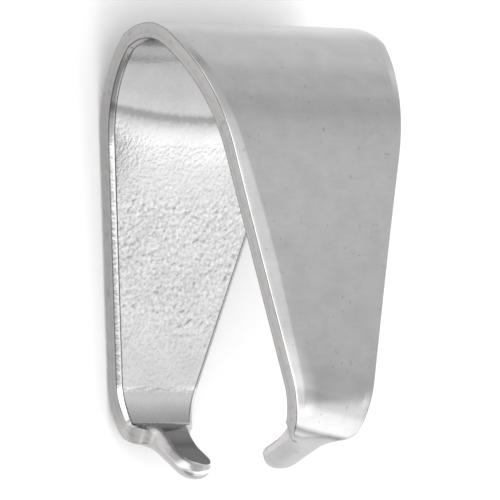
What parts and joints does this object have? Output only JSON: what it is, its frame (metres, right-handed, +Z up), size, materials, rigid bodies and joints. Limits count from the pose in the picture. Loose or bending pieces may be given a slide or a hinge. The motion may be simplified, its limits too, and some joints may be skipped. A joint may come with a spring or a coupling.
{
  "type": "pinch bail",
  "caption": "One-piece pinch bail for a pendant: a strip of sheet metal folded into a pointed arch, with two splayed tapering legs that end in inward prongs.",
  "frame": {"origin": "middle of the flat outer face of the longer leg, the face that the bail lies on", "axes": "+Z up, away from that face; +Y along the leg towards the arch; +X across the strip"},
  "size_m": [0.005, 0.0087, 0.0056],
  "materials": {
    "metal": "satin outside, bright inside the arch and legs, sheared edges"
  },
  "bodies": {
    "root": {"bail": "metal"}
  },
  "joints": []
}
